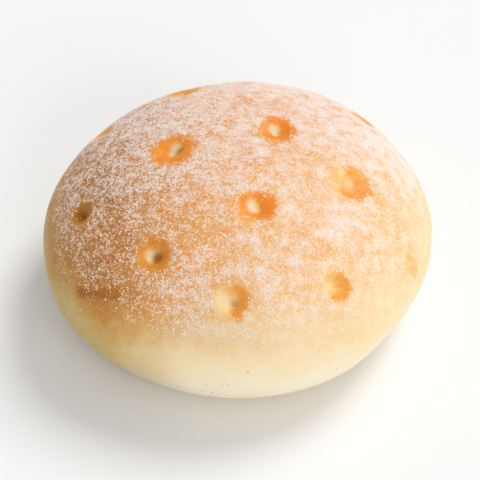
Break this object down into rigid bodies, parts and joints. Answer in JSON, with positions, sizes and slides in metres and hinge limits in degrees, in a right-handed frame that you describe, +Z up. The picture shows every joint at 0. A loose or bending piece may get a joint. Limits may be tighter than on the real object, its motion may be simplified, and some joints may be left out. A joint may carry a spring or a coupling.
{
  "type": "bread roll",
  "caption": "Round white bread roll with a domed, flour-dusted golden crust, rows of small docking holes, a pale side and a flat base.",
  "frame": {"origin": "middle of the flat base, under the middle of the bounding box", "axes": "+Z up, from the flat base to the crown; -Y towards the shown side; +X to the right of the shown side"},
  "size_m": [0.1008, 0.1006, 0.0466],
  "materials": {
    "crust": "thin matt baked crust, golden orange on the dome and pale cream low on the side, dusted with white flour",
    "flour": "dry matt white flour grains and clumps lying on the crust",
    "bran": "small matt brown specks on the pale side"
  },
  "bodies": {
    "root": {"bread_roll": "crust"}
  },
  "joints": []
}
